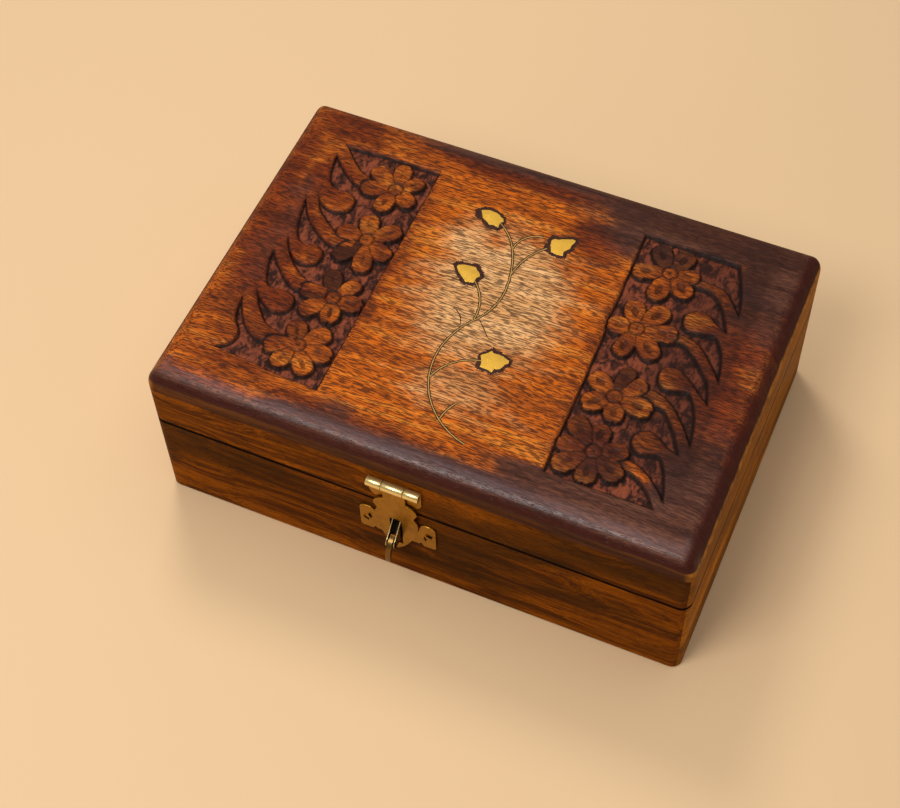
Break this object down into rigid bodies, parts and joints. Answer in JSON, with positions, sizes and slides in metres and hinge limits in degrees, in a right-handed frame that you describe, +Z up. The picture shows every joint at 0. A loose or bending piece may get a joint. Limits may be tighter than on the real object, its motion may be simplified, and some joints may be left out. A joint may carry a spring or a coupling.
{
  "type": "keepsake box",
  "caption": "Rectangular hardwood keepsake box with a hinged lid, carved floral end panels, a brass vine inlay and a brass hasp held by a swinging hook.",
  "frame": {"origin": "centre of the base's underside, on the surface that the box stands on", "axes": "+X along the box's length, -Y out of the front face that carries the hasp, +Z up"},
  "size_m": [0.2, 0.1544, 0.071],
  "materials": {
    "side_wood": "oiled and waxed brown hardwood, straight grain",
    "carved_wood": "stained reddish hardwood with dark short pores, darkened at the edges, waxed",
    "bottom_wood": "plain unfinished board",
    "velvet": "deep red velvet glued on card",
    "filler": "dark shellac filler",
    "inlay_brass": "rubbed flush brass",
    "latch_brass": "aged pressed sheet brass",
    "hinge_brass": "aged brass"
  },
  "bodies": {
    "base": {"base_front_wall": "side_wood", "base_back_wall": "side_wood", "base_left_wall": "side_wood", "base_right_wall": "side_wood", "base_bottom_board": "bottom_wood", "base_floor_lining": "velvet", "base_front_lining": "velvet", "base_back_lining": "velvet", "base_left_lining": "velvet", "base_right_lining": "velvet", "staple_plate": "latch_brass", "staple_nails": "latch_brass", "hook_bracket": "latch_brass", "hook_pivot": "latch_brass", "hinge_left_base_leaf": "hinge_brass", "hinge_right_base_leaf": "hinge_brass", "hinge_base_screws": "hinge_brass", "hinge_pins": "hinge_brass"},
    "lid": {"lid_front_rail": "side_wood", "lid_back_rail": "side_wood", "lid_left_rail": "side_wood", "lid_right_rail": "side_wood", "lid_top_board": "carved_wood", "lid_lining": "velvet", "inlay_leaf_upper_left": "inlay_brass", "inlay_bed_upper_left": "filler", "inlay_leaf_upper_right": "inlay_brass", "inlay_bed_upper_right": "filler", "inlay_leaf_middle_left": "inlay_brass", "inlay_bed_middle_left": "filler", "inlay_leaf_lower_right": "inlay_brass", "inlay_bed_lower_right": "filler", "inlay_wire_main": "inlay_brass", "inlay_wire_upper_right": "inlay_brass", "inlay_wire_upper_tendril": "inlay_brass", "inlay_wire_middle_left": "inlay_brass", "inlay_wire_lower_right": "inlay_brass", "inlay_wire_lower_tendril": "inlay_brass", "hasp_lid_plate": "latch_brass", "hasp_lid_nails": "latch_brass", "hasp_pin": "latch_brass", "hinge_left_lid_leaf": "hinge_brass", "hinge_right_lid_leaf": "hinge_brass", "hinge_lid_screws": "hinge_brass"},
    "hasp": {"hasp_leaf": "latch_brass"},
    "hook": {"hook": "latch_brass"}
  },
  "joints": [
    {"name": "lid_open", "type": "hinge", "parent": "base", "child": "lid", "pos_m": [0, 0.0722, 0.0435], "axis": [-1, 0, 0], "range_deg": [0, 110]},
    {"name": "hasp_swing", "type": "hinge", "parent": "lid", "child": "hasp", "pos_m": [-0.0052, -0.0718, 0.0575], "axis": [-1, 0, 0], "range_deg": [0, 170]},
    {"name": "hook_swing", "type": "hinge", "parent": "base", "child": "hook", "pos_m": [-0.0052, -0.0755, 0.029], "axis": [-1, 0, 0], "range_deg": [0, 100]}
  ]
}
